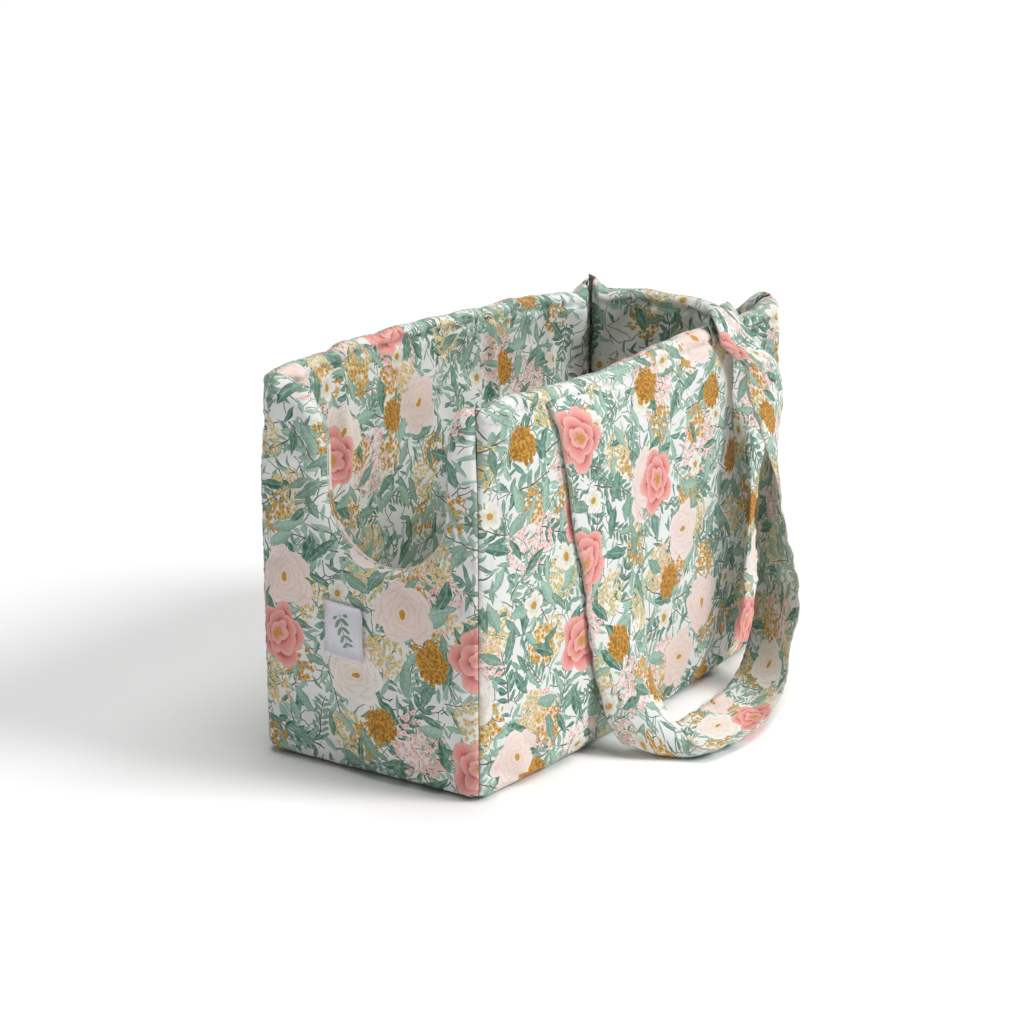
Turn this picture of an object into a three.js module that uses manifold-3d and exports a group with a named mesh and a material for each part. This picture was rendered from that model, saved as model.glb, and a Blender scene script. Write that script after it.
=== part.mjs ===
// An open-topped padded fabric tote for knitting, with a U-shaped notch in one end wall and
// two flat carry straps. Millimetres, +Z up. The long side runs along X, the notched front end
// is at -X, the left side is at -Y, and the origin is the middle of the base on the floor.
import * as THREE from "three";
import { mergeVertices } from "three/addons/utils/BufferGeometryUtils.js";
import Module from "manifold-3d";

// Driving dimensions
const LENGTH = 400;
const WIDTH = 168; // across the two ends
const HEIGHT = 245;
const SIDE_BOW = 12; // how far each long side swells past the ends at mid-length
const FABRIC = 1.2; // seamed double cotton
const FOAM = 12.6;
const GAP = 0.3; // between neighbouring layers
const BOW_STEPS = 16;

const NOTCH_MIDDLE_Y = -12;
const NOTCH_HALF_WIDTH = 45;
const NOTCH_FLOOR_Z = 138;
const NOTCH_FLARE_Z = 208; // the sides lean outward above this height
const NOTCH_FLARE_RIGHT = 12; // towards +Y
const NOTCH_FLARE_LEFT = 5;
const NOTCH_ARC_STEPS = 14;

const STRAP_WIDTH = 68;
const STRAP_THICK = 3.6;
const STRAP_X = 100; // each strap end, left and right of the middle
const STRAP_STEPS = 60;
const STRAP_END_GAP = 1.6; // the ends are flat, the wall is bowed, and the rim stitching runs behind
const STRAP_END_LOW_Z = 222.5;
// The near strap's rear end stands up above the rim, and the other three stop short of it
const STRAP_END_TOP_Z = { left: { front: 241, rear: 251 }, right: { front: 241, rear: 241 } };

const STITCH = 0.6;
const STITCH_INSET = 8;
const RIM_STITCH_DROP = 9;
const LABEL_STITCH_INSET = 2;
const LABEL = { width: 31, height: 35.5, thick: 0.8, y: 12.5, z: 96.5 };

// Offsets of each layer's two faces from the outside of the bag
const OUTER = [0, FABRIC];
const PADDING = [OUTER[1] + GAP, OUTER[1] + GAP + FOAM];
const LINING = [PADDING[1] + GAP, PADDING[1] + GAP + FABRIC];
const WALL = LINING[1];

// Heights of the base layers
const BASE_FOAM_Z = FABRIC + GAP;
const BASE_FOAM_THICK = 12;
const WALL_FOOT_Z = BASE_FOAM_Z + BASE_FOAM_THICK + GAP;

// Both edges of the left strap's loop, from the front end of the bag to the back: down the side,
// a quarter twist, along the floor, and up again with the twist taken out.
const LOOP_REAR_EDGE = [
  [-128, -95, 217], [-120, -96, 178], [-107, -98, 124], [-98, -100, 80], [-92, -103, 48],
  [-88, -109, 22], [-82, -121, 7], [-54, -123, 3.2], [-24, -121, 3], [14, -122, 3.2],
  [54, -120, 5.5], [86, -115, 12], [110, -108.5, 23], [125, -104, 40], [133, -102, 58],
  [134, -101, 76], [131, -100, 102], [134, -100, 128], [140, -102, 152], [146, -105, 174],
  [145, -104, 196], [139, -98, 217],
];
const LOOP_FRONT_EDGE = [
  [-59, -99, 217], [-52, -99.5, 188], [-38, -101, 136], [-34, -102.5, 94], [-38, -108, 62],
  [-50, -122, 36], [-63, -148, 18], [-68, -164, 10.5], [-50, -172, 7.5], [-10, -176, 7.5],
  [36, -169, 13], [59, -163, 21], [73, -158, 34], [86, -157, 54], [92, -154, 72],
  [89, -151, 92], [86, -145, 117], [87, -139, 141], [88, -129, 167], [88, -120, 188],
  [81, -110, 205], [72, -105, 217],
];

const wasm = await Module();
wasm.setup();

const bag = new THREE.Group();

const cotton = material(0xd9dfd4, 0.9);
const liningCotton = material(0xd2d8cc, 0.9);
const batting = material(0xf2f1ec, 1.0);
const strapCotton = material(0xd6dccf, 0.9);
const satin = material(0xf4f3f6, 0.6);
const thread = material(0xf3efe2, 0.7);

function material(color, roughness) {
  return new THREE.MeshStandardMaterial({ color, roughness, metalness: 0 });
}

function addMesh(parent, name, geometry, look) {
  const mesh = new THREE.Mesh(geometry, look);
  mesh.name = name;
  parent.add(mesh);
  return mesh;
}

// Half the bag's width at x, to the outside of the bowed side wall
function halfWidth(x) {
  const along = x / (LENGTH / 2);
  return WIDTH / 2 + SIDE_BOW * (1 - along * along);
}

// The angle that the left wall's outside makes with the X axis at x
function wallAngle(x) {
  return Math.atan((8 * SIDE_BOW * x) / (LENGTH * LENGTH));
}

function extrude(shape, depth) {
  return new THREE.ExtrudeGeometry(shape, { depth, bevelEnabled: false });
}

function toSolid(geometry) {
  const bare = geometry.index ? geometry.toNonIndexed() : geometry.clone();
  bare.deleteAttribute("normal");
  bare.deleteAttribute("uv");
  const merged = mergeVertices(bare, 1e-4);
  return new wasm.Manifold(
    new wasm.Mesh({
      numProp: 3,
      vertProperties: merged.attributes.position.array,
      triVerts: new Uint32Array(merged.index.array),
    }),
  );
}

function toGeometry(solid) {
  const mesh = solid.getMesh();
  const geometry = new THREE.BufferGeometry();
  geometry.setAttribute("position", new THREE.BufferAttribute(mesh.vertProperties, 3));
  geometry.setIndex(new THREE.BufferAttribute(mesh.triVerts, 1));
  return geometry;
}

function join(...geometries) {
  const solids = geometries.map(toSolid);
  return toGeometry(solids.reduce((all, next) => all.add(next)));
}

// Places along the length at which the bowed walls are drawn
function stations(halfLength) {
  return Array.from({ length: BOW_STEPS + 1 }, (_, i) => halfLength * ((2 * i) / BOW_STEPS - 1));
}

// A strip of the left wall in plan, between two offsets from the outside
function sideStrip(near, far, halfLength) {
  const shape = new THREE.Shape();
  const xs = stations(halfLength);
  xs.forEach((x, i) => {
    const y = -(halfWidth(x) - near);
    if (i === 0) shape.moveTo(x, y);
    else shape.lineTo(x, y);
  });
  xs.reverse().forEach((x) => shape.lineTo(x, -(halfWidth(x) - far)));
  shape.closePath();
  return shape;
}

// The whole footprint in plan, this far in from the outside
function footprint(inset) {
  const shape = new THREE.Shape();
  const halfLength = LENGTH / 2 - inset;
  const xs = stations(halfLength);
  xs.forEach((x, i) => {
    const y = -(halfWidth(x) - inset);
    if (i === 0) shape.moveTo(x, y);
    else shape.lineTo(x, y);
  });
  xs.reverse().forEach((x) => shape.lineTo(x, halfWidth(x) - inset));
  shape.closePath();
  return shape;
}

function plate(shape, low, high) {
  return extrude(shape, high - low).translate(0, 0, low);
}

// The notch's edge as points across (y) and up (z), grown by this much, from +Y round to -Y
function notchEdge(grow) {
  const half = NOTCH_HALF_WIDTH + grow;
  const arcZ = NOTCH_FLOOR_Z + NOTCH_HALF_WIDTH;
  const flareZ = (HEIGHT + NOTCH_FLARE_Z) / 2;
  const right = NOTCH_MIDDLE_Y + half;
  const left = NOTCH_MIDDLE_Y - half;
  const points = [
    [right + NOTCH_FLARE_RIGHT, HEIGHT],
    [right + NOTCH_FLARE_RIGHT / 3, flareZ],
    [right, NOTCH_FLARE_Z],
  ];
  for (let i = 0; i <= NOTCH_ARC_STEPS; i++) {
    const angle = -(Math.PI * i) / NOTCH_ARC_STEPS;
    points.push([NOTCH_MIDDLE_Y + half * Math.cos(angle), arcZ + half * Math.sin(angle)]);
  }
  points.push([left, NOTCH_FLARE_Z]);
  points.push([left - NOTCH_FLARE_LEFT / 3, flareZ]);
  points.push([left - NOTCH_FLARE_LEFT, HEIGHT]);
  return points;
}

// An end wall seen along X: full width, or with the notch cut from its top edge
function endOutline(halfAcross, low, high, notchGrow) {
  const shape = new THREE.Shape();
  shape.moveTo(-halfAcross, low);
  shape.lineTo(halfAcross, low);
  shape.lineTo(halfAcross, high);
  if (notchGrow !== null) {
    notchEdge(notchGrow).forEach(([y, z]) => shape.lineTo(y, Math.min(z, high)));
  }
  shape.lineTo(-halfAcross, high);
  shape.closePath();
  return shape;
}

// Turns an outline drawn across and up into a wall that faces along X, from x = low to x = high
function uprightAcross(shape, low, high) {
  const geometry = extrude(shape, high - low);
  geometry.rotateX(Math.PI / 2);
  geometry.rotateZ(Math.PI / 2);
  return geometry.translate(low, 0, 0);
}

// A band of fabric turned through the wall round the notch
function notchFacing(low, high) {
  const shape = new THREE.Shape();
  notchEdge(0).forEach(([y, z], i) => {
    if (i === 0) shape.moveTo(y, z);
    else shape.lineTo(y, z);
  });
  notchEdge(FABRIC).reverse().forEach(([y, z]) => shape.lineTo(y, z));
  shape.closePath();
  return uprightAcross(shape, low, high);
}

function addSideWall(parent, side) {
  const outside = plate(sideStrip(...OUTER, LENGTH / 2), BASE_FOAM_Z, HEIGHT);
  const foam = plate(
    sideStrip(...PADDING, LENGTH / 2 - PADDING[0]),
    WALL_FOOT_Z,
    HEIGHT - FABRIC - GAP,
  );
  const sheet = plate(sideStrip(...LINING, LENGTH / 2 - LINING[0]), WALL_FOOT_Z, HEIGHT);
  const turnedTop = plate(
    sideStrip(PADDING[0], WALL, LENGTH / 2 - LINING[0]),
    HEIGHT - FABRIC,
    HEIGHT,
  );
  addMesh(parent, `outer_${side}_side_panel`, outside, cotton);
  addMesh(parent, `padding_${side}_side`, foam, batting);
  addMesh(parent, `lining_${side}_side`, join(sheet, turnedTop), liningCotton);
  addMesh(parent, `rim_stitching_${side}_side`, rimStitch(), thread);
}

function rimStitch() {
  const low = HEIGHT - RIM_STITCH_DROP;
  return plate(sideStrip(-GAP - STITCH, -GAP, LENGTH / 2 - STITCH_INSET), low, low + STITCH);
}

// The lining's edge turned over the padding along an end wall's top, between two places across
function turnedTop(from, to, [low, high]) {
  const box = new THREE.BoxGeometry(high - low, to - from, FABRIC);
  return box.translate((low + high) / 2, (from + to) / 2, HEIGHT - FABRIC / 2);
}

// The layers of an end wall: sign is 1 for the back, at +X, and -1 for the notched front
function endWall(sign, notched) {
  const grow = (extra) => (notched ? extra : null);
  const across = (near, far) => {
    const xs = [near, far].map((offset) => sign * (LENGTH / 2 - offset));
    return xs.sort((a, b) => a - b);
  };
  const clear = FABRIC + GAP;
  const foamHalf = WIDTH / 2 - PADDING[1] - GAP;
  const outer = endOutline(WIDTH / 2 - clear, BASE_FOAM_Z, HEIGHT, grow(clear));
  const foam = endOutline(foamHalf, WALL_FOOT_Z, HEIGHT - clear, grow(clear));
  const sheet = endOutline(WIDTH / 2 - WALL - GAP, WALL_FOOT_Z, HEIGHT, grow(0));
  return {
    outer: uprightAcross(outer, ...across(...OUTER)),
    foam: uprightAcross(foam, ...across(...PADDING)),
    sheet: uprightAcross(sheet, ...across(...LINING)),
    turned: across(PADDING[0], WALL),
    topHalf: WIDTH / 2 - WALL - GAP,
  };
}

function addFront() {
  const { outer, foam, sheet, turned, topHalf } = endWall(-1, true);
  const notchLeft = NOTCH_MIDDLE_Y - NOTCH_HALF_WIDTH - NOTCH_FLARE_LEFT;
  const notchRight = NOTCH_MIDDLE_Y + NOTCH_HALF_WIDTH + NOTCH_FLARE_RIGHT;
  const lining = join(
    sheet,
    notchFacing(...turned),
    turnedTop(-topHalf, notchLeft - FABRIC / 2, turned),
    turnedTop(notchRight + FABRIC / 2, topHalf, turned),
  );
  addMesh(bag, "outer_front_panel", outer, cotton);
  addMesh(bag, "padding_front", foam, batting);
  addMesh(bag, "lining_front", lining, liningCotton);
}

function addBack() {
  const { outer, foam, sheet, turned, topHalf } = endWall(1, false);
  addMesh(bag, "outer_back_panel", outer, cotton);
  addMesh(bag, "padding_back", foam, batting);
  addMesh(bag, "lining_back", join(sheet, turnedTop(-topHalf, topHalf, turned)), liningCotton);
}

function addBase() {
  addMesh(bag, "outer_base_panel", plate(footprint(0), 0, FABRIC), cotton);
  const foamTop = BASE_FOAM_Z + BASE_FOAM_THICK;
  addMesh(bag, "padding_base", plate(footprint(FABRIC + GAP), BASE_FOAM_Z, foamTop), batting);
  const lining = plate(footprint(WALL + GAP), WALL_FOOT_Z, WALL_FOOT_Z + FABRIC);
  addMesh(bag, "lining_base", lining, liningCotton);
}

// A closed ribbon between two edge curves, of even thickness
function ribbon(edgeA, edgeB, thick, steps) {
  const curves = [edgeA, edgeB].map((edge) => {
    const points = edge.map((p) => new THREE.Vector3(...p));
    return new THREE.CatmullRomCurve3(points, false, "centripetal");
  });
  const sample = (t) => curves.map((curve) => curve.getPoint(t));
  const middle = (t) => sample(t)[0].add(sample(t)[1]).multiplyScalar(0.5);
  const positions = [];
  for (let i = 0; i <= steps; i++) {
    const t = i / steps;
    const [a, b] = sample(t);
    const ahead = middle(Math.min(t + 0.005, 1)).sub(middle(Math.max(t - 0.005, 0)));
    const lift = ahead.cross(b.clone().sub(a)).normalize().multiplyScalar(thick / 2);
    const ring = [a.clone().add(lift), b.clone().add(lift), b.clone().sub(lift), a.clone().sub(lift)];
    ring.forEach((p) => positions.push(p.x, p.y, p.z));
  }
  return tubeFromRings(positions, 4, steps);
}

function tubeFromRings(positions, sides, steps) {
  const index = [];
  for (let i = 0; i < steps; i++) {
    for (let k = 0; k < sides; k++) {
      const a = i * sides + k;
      const b = i * sides + ((k + 1) % sides);
      index.push(a, b + sides, b, a, a + sides, b + sides);
    }
  }
  for (let k = 1; k < sides - 1; k++) {
    const last = steps * sides;
    index.push(0, k, k + 1);
    index.push(last, last + k + 1, last + k);
  }
  const geometry = new THREE.BufferGeometry();
  geometry.setAttribute("position", new THREE.Float32BufferAttribute(positions, 3));
  geometry.setIndex(index);
  return geometry;
}

// A strap end, caught in the seam outside the rim. Drawn about the wall's outside face at y = 0,
// with the bag's inside towards +y.
function strapEnd(top) {
  const tall = top - STRAP_END_LOW_Z;
  const tab = new THREE.BoxGeometry(STRAP_WIDTH, STRAP_THICK, tall);
  return tab.translate(0, -STRAP_END_GAP - STRAP_THICK / 2, STRAP_END_LOW_Z + tall / 2);
}

function addStrap(parent, side) {
  const loop = ribbon(LOOP_REAR_EDGE, LOOP_FRONT_EDGE, STRAP_THICK, STRAP_STEPS);
  addMesh(parent, `strap_${side}_loop`, loop, strapCotton);
  [["front", -STRAP_X], ["rear", STRAP_X]].forEach(([end, x]) => {
    const place = new THREE.Group();
    place.position.set(x, -halfWidth(x), 0);
    place.rotation.z = wallAngle(x);
    addMesh(place, `strap_${side}_${end}_end`, strapEnd(STRAP_END_TOP_Z[side][end]), strapCotton);
    parent.add(place);
  });
}

function addLabel() {
  const x = -LENGTH / 2 - GAP - LABEL.thick / 2;
  const cloth = new THREE.BoxGeometry(LABEL.thick, LABEL.width, LABEL.height);
  addMesh(bag, "label", cloth.translate(x, LABEL.y, LABEL.z), satin);
  [["left", -1], ["right", 1]].forEach(([side, sign]) => {
    const line = new THREE.BoxGeometry(STITCH / 2, STITCH, LABEL.height - 4 * STITCH);
    const y = LABEL.y + sign * (LABEL.width / 2 - LABEL_STITCH_INSET);
    line.translate(x - LABEL.thick / 2 - GAP - STITCH / 4, y, LABEL.z);
    addMesh(bag, `label_stitching_${side}`, line, thread);
  });
}

addFront();
addBack();
addBase();
addLabel();
["left", "right"].forEach((side, i) => {
  const half = new THREE.Group();
  half.scale.y = i === 0 ? 1 : -1;
  addSideWall(half, side);
  addStrap(half, side);
  bag.add(half);
});

export default bag;
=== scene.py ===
"""A padded floral tote for knitting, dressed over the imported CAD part. Metres, +Z up.

The long side runs along X, the notched front end is at -X and the left side is at -Y.
"""
import math

import bmesh
import bpy
import numpy as np
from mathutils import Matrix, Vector
from mathutils.bvhtree import BVHTree
from mathutils.geometry import delaunay_2d_cdt


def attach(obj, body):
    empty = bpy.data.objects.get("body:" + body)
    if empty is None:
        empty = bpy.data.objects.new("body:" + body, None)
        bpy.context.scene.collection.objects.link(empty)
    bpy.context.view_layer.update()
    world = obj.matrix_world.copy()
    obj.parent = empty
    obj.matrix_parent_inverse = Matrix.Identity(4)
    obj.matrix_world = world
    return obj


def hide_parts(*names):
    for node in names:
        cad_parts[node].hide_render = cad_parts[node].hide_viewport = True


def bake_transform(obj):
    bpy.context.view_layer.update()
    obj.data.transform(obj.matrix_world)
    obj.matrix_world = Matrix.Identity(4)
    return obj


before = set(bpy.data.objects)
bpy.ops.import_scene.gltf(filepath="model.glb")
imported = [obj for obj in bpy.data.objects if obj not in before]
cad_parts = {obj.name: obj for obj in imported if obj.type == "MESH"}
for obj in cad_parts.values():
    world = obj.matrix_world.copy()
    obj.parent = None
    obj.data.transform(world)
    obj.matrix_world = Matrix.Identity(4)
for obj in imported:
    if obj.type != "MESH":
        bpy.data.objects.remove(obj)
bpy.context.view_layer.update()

# ---------------------------------------------------------------- sizes
HALF_LENGTH = 0.200
HALF_WIDTH = 0.084  # at the two ends
SIDE_BOW = 0.012
RIM_Z = 0.245
WALL = 0.0160  # outside of the wall to its inside, padding and all
RIM_RADIUS = WALL / 2
SEAM_INSET = 0.0026  # how deep the corner seams pull in
BASE_ROLL = 0.006
BASE_ROLL_HEIGHT = 0.011
BASE_SEAM_Z = 0.0012
LINING_FOOT_Z = 0.0145
CLOTH = 0.0009
MESH_STEP = 0.0042
STITCH_LINE_DROP = 0.0090  # topstitching, below the rim
LINING_TUCK = 0.0016  # how far the lining sinks into its corner seams
CORNER_PUFF_FROM_Z, CORNER_PUFF_RISE = 0.185, 0.045
CORNER_LOBE = 0.0095  # how far from its seam a corner has rounded over
SIM_PRESSURE, SIM_MOST_MOVED, SIM_FRAMES = 1.6, 0.0026, 14
FLOOR_CLEARANCE = 0.0004  # under the base

NOTCH_MIDDLE = -0.012
NOTCH_HALF = 0.045
NOTCH_FLOOR = 0.138
NOTCH_FLARE_Z = 0.208
NOTCH_FLARE = {1: 0.012, -1: 0.005}
NOTCH_TOP_ROUND = 0.009

STRAP_WIDTH = 0.068
STRAP_THICK = 0.0030
STRAP_UV_PERIOD = 0.2
STRAP_REST = 0.0006  # clear of the floor
STRAP_COLUMNS = 18  # points across each face
STRAP_ROW = 0.0030
STRAP_EDGE_ROLL = 0.0030  # from the strap's edge to its topstitching
STRAP_OUTER_X, STRAP_INNER_X = 0.134, 0.066  # where a strap's two edges enter the seam
OUTSIDE_Y = 0.4  # well outside the bag, where rays towards its sides start

LABEL_WIDTH = 0.031
LABEL_HEIGHT = 0.0355
LABEL_MIDDLE = (0.0125, 0.0965)  # y and z, on the front
LABEL_TILT = 0.045
LABEL_THICK = 0.0006
LABEL_STITCH_INSET = 0.0020
LABEL_STITCH_PITCH = 0.0026
RIM_STITCH_PITCH = 0.0042
STITCH_SHARE = 0.72  # of its pitch that each stitch shows
THREAD_RADIUS = 0.00026


def smooth(t):
    t = np.clip(t, 0.0, 1.0)
    return t * t * (3.0 - 2.0 * t)


def hill(x, middle, width):
    return np.exp(-(((x - middle) / width) ** 2))


def ripple(p, wavelength, seed, waves=9):
    """Smooth seeded noise, about -1 to 1, over points p with two columns."""
    rng = np.random.default_rng(seed)
    angle = rng.uniform(0, 2 * math.pi, waves)
    number = 2 * math.pi / (wavelength * rng.uniform(0.75, 1.4, waves))
    phase = rng.uniform(0, 2 * math.pi, waves)
    total = np.zeros(len(p))
    for k in range(waves):
        along = p[:, 0] * math.cos(angle[k]) + p[:, 1] * math.sin(angle[k])
        total += np.sin(number[k] * along + phase[k])
    return total / (1.3 * math.sqrt(waves))


def half_width(x):
    return HALF_WIDTH + SIDE_BOW * (1.0 - (np.asarray(x) / HALF_LENGTH) ** 2)


def seam_inset(z):
    """How deep the corner seams sit: deepest at the top, between the puffed corners."""
    return SEAM_INSET + 0.0042 * smooth((np.asarray(z) - CORNER_PUFF_FROM_Z) / CORNER_PUFF_RISE)


def soft_line(knots, blur=0.0022):
    """A smooth function through knots of (place, value), both in millimetres."""
    at, value = (np.array(column) / 1000.0 for column in zip(*knots))
    fine = np.linspace(at[0] - 0.01, at[-1] + 0.01, 900)
    reach = int(3 * blur / (fine[1] - fine[0]))
    kernel = np.exp(-0.5 * (np.arange(-reach, reach + 1) * (fine[1] - fine[0]) / blur) ** 2)
    rough = np.pad(np.interp(fine, at, value), reach, mode="edge")
    line = np.convolve(rough, kernel / kernel.sum(), mode="valid")
    return lambda a: np.interp(a, fine, line)


def rounding(share):
    """A quarter circle's fall: 1 where it starts, at share 0, to nothing at share 1."""
    u = np.clip(1.0 - share, 0.0, 1.0)
    return 1.0 - np.sqrt(np.clip(1.0 - u * u, 0.0, 1.0))


def quarter(d, radius):
    """How far a rounded edge has turned in, this far from its limit."""
    return radius * rounding(d / radius)


def side_normals(line):
    """The unit normal at each point of a flat line."""
    tangent = np.gradient(line, axis=0)
    normal = np.stack([tangent[:, 1], -tangent[:, 0]], axis=1)
    return normal / np.linalg.norm(normal, axis=1)[:, None]


def lengths_along(line):
    """How far along a polyline each of its points is."""
    return np.concatenate([[0], np.cumsum(np.linalg.norm(np.diff(line, axis=0), axis=1))])


def along_line(at, length, line):
    """The points of a polyline at these distances along it."""
    return np.stack([np.interp(at, length, line[:, k]) for k in range(line.shape[1])], axis=-1)


def closed(line):
    return np.vstack([line, line[:1]])


# ---------------------------------------------------------------- materials
class Field:
    """One value in a shader tree, with arithmetic."""

    def __init__(self, tree, socket):
        self.tree, self.socket = tree, socket

    def maths(self, operation, *others):
        node = self.tree.nodes.new("ShaderNodeMath")
        node.operation = operation
        for slot, value in zip(node.inputs, (self, *others)):
            if isinstance(value, Field):
                self.tree.links.new(value.socket, slot)
            else:
                slot.default_value = value
        return Field(self.tree, node.outputs[0])

    def ramp(self, low, high, to_low=0.0, to_high=1.0):
        """Smoothly from to_low at low to to_high at high."""
        node = self.tree.nodes.new("ShaderNodeMapRange")
        node.interpolation_type = "SMOOTHSTEP"
        for name, value in (("Value", self), ("From Min", low), ("From Max", high)):
            if isinstance(value, Field):
                self.tree.links.new(value.socket, node.inputs[name])
            else:
                node.inputs[name].default_value = value
        node.inputs["To Min"].default_value = to_low
        node.inputs["To Max"].default_value = to_high
        return Field(self.tree, node.outputs["Result"])


FIELD_METHODS = {
    "__add__": "ADD", "__sub__": "SUBTRACT", "__mul__": "MULTIPLY", "__truediv__": "DIVIDE",
    "less": "LESS_THAN", "more": "GREATER_THAN", "maximum": "MAXIMUM", "power": "POWER", "abs": "ABSOLUTE",
    "sin": "SINE", "cos": "COSINE", "fraction": "FRACT", "angle_to": "ARCTAN2",
}


def field_method(operation):
    def method(self, *others):
        return self.maths(operation, *others)

    return method


for method_name, operation_name in FIELD_METHODS.items():
    setattr(Field, method_name, field_method(operation_name))


class Cloth:
    """A shader tree being built, with the few sources that the fabrics share."""

    def __init__(self, name):
        self.material = bpy.data.materials.new(name)
        self.material.use_nodes = True
        self.tree = self.material.node_tree
        self.shader = self.tree.nodes["Principled BSDF"]

    def link(self, source, target):
        self.tree.links.new(source.socket if isinstance(source, Field) else source, target)

    def finish(self, colour, roughness, normal):
        """Joins the three to the shader, and gives the finished material."""
        for name, source in (("Base Color", colour), ("Roughness", roughness), ("Normal", normal)):
            self.link(source, self.shader.inputs[name])
        return self.material

    def coordinates(self):
        node = self.tree.nodes.new("ShaderNodeUVMap")
        node.uv_map = "fabric"
        return node.outputs["UV"]

    def vector(self, operation, a, b=None, scale=None):
        node = self.tree.nodes.new("ShaderNodeVectorMath")
        node.operation = operation
        for slot, value in zip(node.inputs, (a, b)):
            if value is None:
                continue
            if isinstance(value, (tuple, list)):
                slot.default_value = value
            else:
                self.link(value, slot)
        if scale is not None:
            node.inputs["Scale"].default_value = scale
        return node.outputs[0]

    def turn(self, vector, angle):
        node = self.tree.nodes.new("ShaderNodeVectorRotate")
        node.rotation_type = "Z_AXIS"
        self.link(vector, node.inputs["Vector"])
        if isinstance(angle, Field):
            self.link(angle, node.inputs["Angle"])
        else:
            node.inputs["Angle"].default_value = angle
        return node.outputs[0]

    def split(self, vector):
        node = self.tree.nodes.new("ShaderNodeSeparateXYZ")
        self.link(vector, node.inputs[0])
        return [Field(self.tree, out) for out in node.outputs]

    def noise(self, vector, scale, detail=2.0, colour=False, roughness=0.5):
        node = self.tree.nodes.new("ShaderNodeTexNoise")
        node.inputs["Scale"].default_value = scale
        node.inputs["Detail"].default_value = detail
        node.inputs["Roughness"].default_value = roughness
        self.link(vector, node.inputs["Vector"])
        return node.outputs["Color"] if colour else Field(self.tree, node.outputs["Fac"])

    def warped(self, vector, scale, amount, detail=1.0):
        """The same coordinates pushed about by noise."""
        push = self.vector("SUBTRACT", self.noise(vector, scale, detail, True), (0.5, 0.5, 0.5))
        return self.vector("ADD", vector, self.vector("SCALE", push, scale=amount))

    def scatter(self, vector, size, shift, jitter, tilt):
        """Motif places: local x and y in cell sizes, and three random numbers a cell."""
        lattice = self.turn(self.vector("ADD", vector, (shift, shift * 1.7, 0.0)), tilt)
        node = self.tree.nodes.new("ShaderNodeTexVoronoi")
        node.voronoi_dimensions = "2D"
        node.inputs["Scale"].default_value = 1.0 / size
        node.inputs["Randomness"].default_value = jitter
        self.link(lattice, node.inputs["Vector"])
        local = self.vector("SUBTRACT", lattice, node.outputs["Position"])
        local = self.vector("SCALE", local, scale=1.0 / size)
        chance = self.split(node.outputs["Color"])
        local = self.turn(local, chance[0] * (2 * math.pi))
        return local, chance

    def cell_edge(self, vector, size):
        """Distance to the nearest wall of a honeycomb of irregular cells, in cells."""
        node = self.tree.nodes.new("ShaderNodeTexVoronoi")
        node.voronoi_dimensions, node.feature = "2D", "DISTANCE_TO_EDGE"
        node.inputs["Scale"].default_value = 1.0 / size
        self.link(vector, node.inputs["Vector"])
        return Field(self.tree, node.outputs["Distance"])

    def mix(self, factor, a, b):
        node = self.tree.nodes.new("ShaderNodeMix")
        node.data_type = "RGBA"
        for slot, value in ((node.inputs[0], factor), (node.inputs[6], a), (node.inputs[7], b)):
            if isinstance(value, tuple):
                slot.default_value = (*value, 1.0)
            elif isinstance(value, float):
                slot.default_value = value
            else:
                self.link(value, slot)
        return node.outputs[2]

    def attribute(self, name):
        node = self.tree.nodes.new("ShaderNodeAttribute")
        node.attribute_name = name
        return Field(self.tree, node.outputs["Fac"])

    def bump(self, height, distance, strength=1.0, under=None):
        node = self.tree.nodes.new("ShaderNodeBump")
        node.inputs["Distance"].default_value = distance
        node.inputs["Strength"].default_value = strength
        self.link(height, node.inputs["Height"])
        if under is not None:
            self.link(under, node.inputs["Normal"])
        return node.outputs[0]


def srgb(red, green, blue):
    """A screen colour, 0 to 255, as the linear colour that shaders use."""
    def one(value):
        c = value / 255.0
        return c / 12.92 if c <= 0.04045 else ((c + 0.055) / 1.055) ** 2.4

    return (one(red), one(green), one(blue))


GROUND = srgb(243, 244, 242)
LEAF_DARK, LEAF_MID, LEAF_LIGHT = srgb(56, 110, 92), srgb(116, 162, 142), srgb(172, 204, 186)
STEM = srgb(112, 92, 70)
CORAL_DARK, CORAL, CORAL_LIGHT = srgb(196, 92, 92), srgb(238, 150, 143), srgb(250, 200, 190)
ROSE_LINE, ROSE, ROSE_BLUSH = srgb(212, 184, 162), srgb(251, 246, 240), srgb(248, 230, 225)
GOLD_DARK, GOLD, GOLD_LIGHT = srgb(146, 92, 18), srgb(205, 150, 46), srgb(222, 196, 128)
PINK = srgb(246, 194, 186)


def bloom(cloth, place, petals, rings, radius, raggedness):
    """A flower seen from above: its mask, and how far out in its own ring of petals a point is."""
    x, y, _ = cloth.split(place)
    distance = (x * x + y * y).power(0.5)
    angle = y.angle_to(x)
    mask, shade = None, None
    for k in range(rings, 0, -1):
        edge = radius * (k / rings) ** 0.85
        inner = radius * ((k - 1) / rings) ** 0.85 * 0.9
        lobes = (angle * (petals / 2.0) + 1.9 * k).cos().abs().power(0.55)
        reach = lobes * (edge * raggedness) + edge * (1.0 - raggedness)
        inside = distance.less(reach)
        tone = (distance - inner) / (reach - inner)
        if mask is None:
            mask, shade = inside, tone
        else:
            shade = shade + (tone - shade) * inside
    return mask, shade, distance, angle


def leaf(cloth, place, length, width):
    """A pointed leaf: its mask, and the coordinates across it."""
    x, y, _ = cloth.split(place)
    along = (x / length).abs()
    outline = (along.power(1.7) * -1.0 + 1.0).maximum(0.0) * width
    mask = y.abs().less(outline)
    return mask, x, y, outline


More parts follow.
